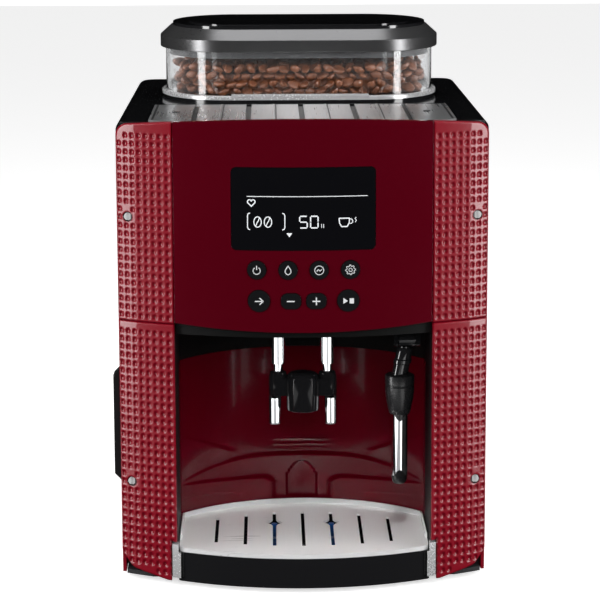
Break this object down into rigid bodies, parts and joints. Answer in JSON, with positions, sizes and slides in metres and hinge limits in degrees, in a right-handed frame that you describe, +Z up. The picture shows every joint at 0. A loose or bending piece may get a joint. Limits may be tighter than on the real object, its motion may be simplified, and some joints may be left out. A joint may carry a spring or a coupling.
{
  "type": "bean-to-cup coffee machine",
  "caption": "Compact bean-to-cup espresso machine: bowed front with display and keys, clear bean hopper with lid, twin spout, steam wand and pull-out drip tray.",
  "frame": {"origin": "on the surface that the machine stands on, under the middle of the body", "axes": "+X to the right seen from the front, +Y towards the back, +Z up"},
  "size_m": [0.2498, 0.33, 0.365],
  "materials": {
    "red_textured": "moulded in small square dimples, satin red",
    "red_gloss": "deep red, high gloss",
    "red_liner": "dark red, high gloss",
    "red_side": "satin red",
    "black_gloss": "black, high gloss",
    "black_satin": "black, satin",
    "black_display": "black window with a pale grey display",
    "button_black": "black keys with pale grey symbols",
    "chrome": "bright chrome",
    "grille_steel": "brushed stainless steel",
    "deck_metal": "satin steel",
    "lid_metal": "satin grey metal",
    "trim_silver": "satin chrome",
    "clear_plastic": "clear plastic",
    "tank_plastic": "smoky clear plastic",
    "beans": "roasted coffee beans",
    "rubber": "black rubber",
    "seal_rubber": "black silicone",
    "frame_plastic": "dark grey moulding",
    "inner_plastic": "light grey moulding",
    "board_green": "green circuit board",
    "burr_steel": "ground steel",
    "motor_metal": "plain metal",
    "heater_metal": "cast",
    "float_blue": "blue",
    "hose_rubber": "translucent silicone hose"
  },
  "bodies": {
    "chassis": {"base_frame": "frame_plastic", "rubber_feet": "rubber", "cheek_right": "red_textured", "cheek_left": "red_textured", "front_fascia": "red_gloss", "casing_screws": "chrome", "display_window": "black_display", "display_board": "board_green", "side_panel_right": "red_side", "side_panel_left": "red_side", "rear_panel": "black_satin", "power_inlet": "black_satin", "top_deck": "black_gloss", "rib_panel": "deck_metal", "bay_frame": "black_satin", "bay_liner": "red_liner", "tank_seat": "frame_plastic", "bean_hopper": "clear_plastic", "hopper_ring": "chrome", "coffee_beans": "beans", "grinder_housing": "inner_plastic", "ring_burr": "burr_steel", "grinder_motor": "motor_metal", "brew_frame": "inner_plastic", "brew_chamber": "inner_plastic", "pump": "motor_metal", "thermoblock": "heater_metal", "inner_hoses": "hose_rubber"},
    "spout": {"spout_columns": "chrome", "spout_body": "black_gloss", "spout_tips": "chrome"},
    "wand_turret": {"wand_swivel": "black_satin"},
    "wand": {"wand_arm": "black_gloss", "wand_collar": "black_satin", "wand_tube": "chrome", "wand_tip": "black_satin"},
    "tray": {"tray_body": "black_gloss", "tray_trims": "trim_silver"},
    "grille": {"drip_grille": "grille_steel"},
    "floats": {"tray_floats": "float_blue"},
    "drawer": {"drawer_front": "black_satin", "grounds_bin": "frame_plastic"},
    "tank": {"water_tank": "tank_plastic"},
    "tank_cover": {"tank_lid": "black_gloss"},
    "knob": {"fineness_knob": "black_satin"},
    "hopper_lid": {"lid_rim": "lid_metal", "lid_plate": "black_gloss", "lid_seal": "seal_rubber"},
    "burr": {"cone_burr": "burr_steel"},
    "pinion": {"motor_pinion": "burr_steel"},
    "piston": {"brew_piston": "inner_plastic"},
    "drive_screw": {"brew_screw": "burr_steel"},
    "button_power": {"button_power": "button_black"},
    "button_clean": {"button_clean": "button_black"},
    "button_descale": {"button_descale": "button_black"},
    "button_settings": {"button_settings": "button_black"},
    "button_next": {"button_next": "button_black"},
    "button_start": {"button_start": "button_black"},
    "button_minus": {"button_minus": "button_black"},
    "button_plus": {"button_plus": "button_black"}
  },
  "joints": [
    {"name": "spout_height", "type": "slide", "parent": "chassis", "child": "spout", "axis": [0, 0, 1], "range_m": [-0.012, 0.033]},
    {"name": "wand_turn", "type": "hinge", "parent": "chassis", "child": "wand_turret", "pos_m": [0.07, -0.113, 0.18], "axis": [0, 0, 1], "range_deg": [-60, 0]},
    {"name": "wand_tilt", "type": "hinge", "parent": "wand_turret", "child": "wand", "pos_m": [0.07, -0.113, 0.161], "axis": [-1, 0, 0], "range_deg": [0, 30]},
    {"name": "tray_pull", "type": "slide", "parent": "chassis", "child": "tray", "axis": [0, -1, 0], "range_m": [0, 0.12]},
    {"name": "grille_lift", "type": "slide", "parent": "tray", "child": "grille", "axis": [0, 0, 1], "range_m": [0, 0.03]},
    {"name": "float_rise", "type": "slide", "parent": "tray", "child": "floats", "axis": [0, 0, 1], "range_m": [0, 0.006]},
    {"name": "drawer_pull", "type": "slide", "parent": "chassis", "child": "drawer", "axis": [-1, 0, 0], "range_m": [0, 0.11]},
    {"name": "tank_lift", "type": "slide", "parent": "chassis", "child": "tank", "axis": [0, 0, 1], "range_m": [0, 0.2]},
    {"name": "tank_lid_hinge", "type": "hinge", "parent": "tank", "child": "tank_cover", "pos_m": [0, 0.1584, 0.3076], "axis": [-1, 0, 0], "range_deg": [0, 80]},
    {"name": "fineness_turn", "type": "hinge", "parent": "chassis", "child": "knob", "pos_m": [-0.062, 0.062, 0.32], "axis": [0, 0, 1], "range_deg": [0, 120]},
    {"name": "lid_lift", "type": "slide", "parent": "chassis", "child": "hopper_lid", "axis": [0, 0, 1], "range_m": [0, 0.06]},
    {"name": "burr_spin", "type": "hinge", "parent": "chassis", "child": "burr", "pos_m": [0, 0.043, 0.26], "axis": [0, 0, 1], "continuous": true},
    {"name": "pinion_spin", "type": "hinge", "parent": "chassis", "child": "pinion", "pos_m": [0.055, 0.043, 0.25], "axis": [0, 0, 1], "continuous": true},
    {"name": "piston_press", "type": "slide", "parent": "chassis", "child": "piston", "axis": [0, 0, -1], "range_m": [0, 0.028]},
    {"name": "screw_turn", "type": "hinge", "parent": "chassis", "child": "drive_screw", "pos_m": [0.04, 0.04, 0.16], "axis": [0, 0, 1], "range_deg": [0, 850]},
    {"name": "button_power_press", "type": "slide", "parent": "chassis", "child": "button_power", "axis": [0, 1, 0], "range_m": [0, 0.0012], "stiffness_N_per_m": 600},
    {"name": "button_clean_press", "type": "slide", "parent": "chassis", "child": "button_clean", "axis": [0, 1, 0], "range_m": [0, 0.0012], "stiffness_N_per_m": 600},
    {"name": "button_descale_press", "type": "slide", "parent": "chassis", "child": "button_descale", "axis": [0, 1, 0], "range_m": [0, 0.0012], "stiffness_N_per_m": 600},
    {"name": "button_settings_press", "type": "slide", "parent": "chassis", "child": "button_settings", "axis": [0, 1, 0], "range_m": [0, 0.0012], "stiffness_N_per_m": 600},
    {"name": "button_next_press", "type": "slide", "parent": "chassis", "child": "button_next", "axis": [0, 1, 0], "range_m": [0, 0.0012], "stiffness_N_per_m": 600},
    {"name": "button_start_press", "type": "slide", "parent": "chassis", "child": "button_start", "axis": [0, 1, 0], "range_m": [0, 0.0012], "stiffness_N_per_m": 600},
    {"name": "button_minus_press", "type": "slide", "parent": "chassis", "child": "button_minus", "axis": [0, 1, 0], "range_m": [0, 0.0012], "stiffness_N_per_m": 600},
    {"name": "button_plus_press", "type": "slide", "parent": "chassis", "child": "button_plus", "axis": [0, 1, 0], "range_m": [0, 0.0012], "stiffness_N_per_m": 600}
  ],
  "couplings": [
    {"joint": "pinion_spin", "follows": "burr_spin", "ratio": -2.6667},
    {"joint": "screw_turn", "follows": "piston_press", "rad_per_m": 523.6}
  ]
}
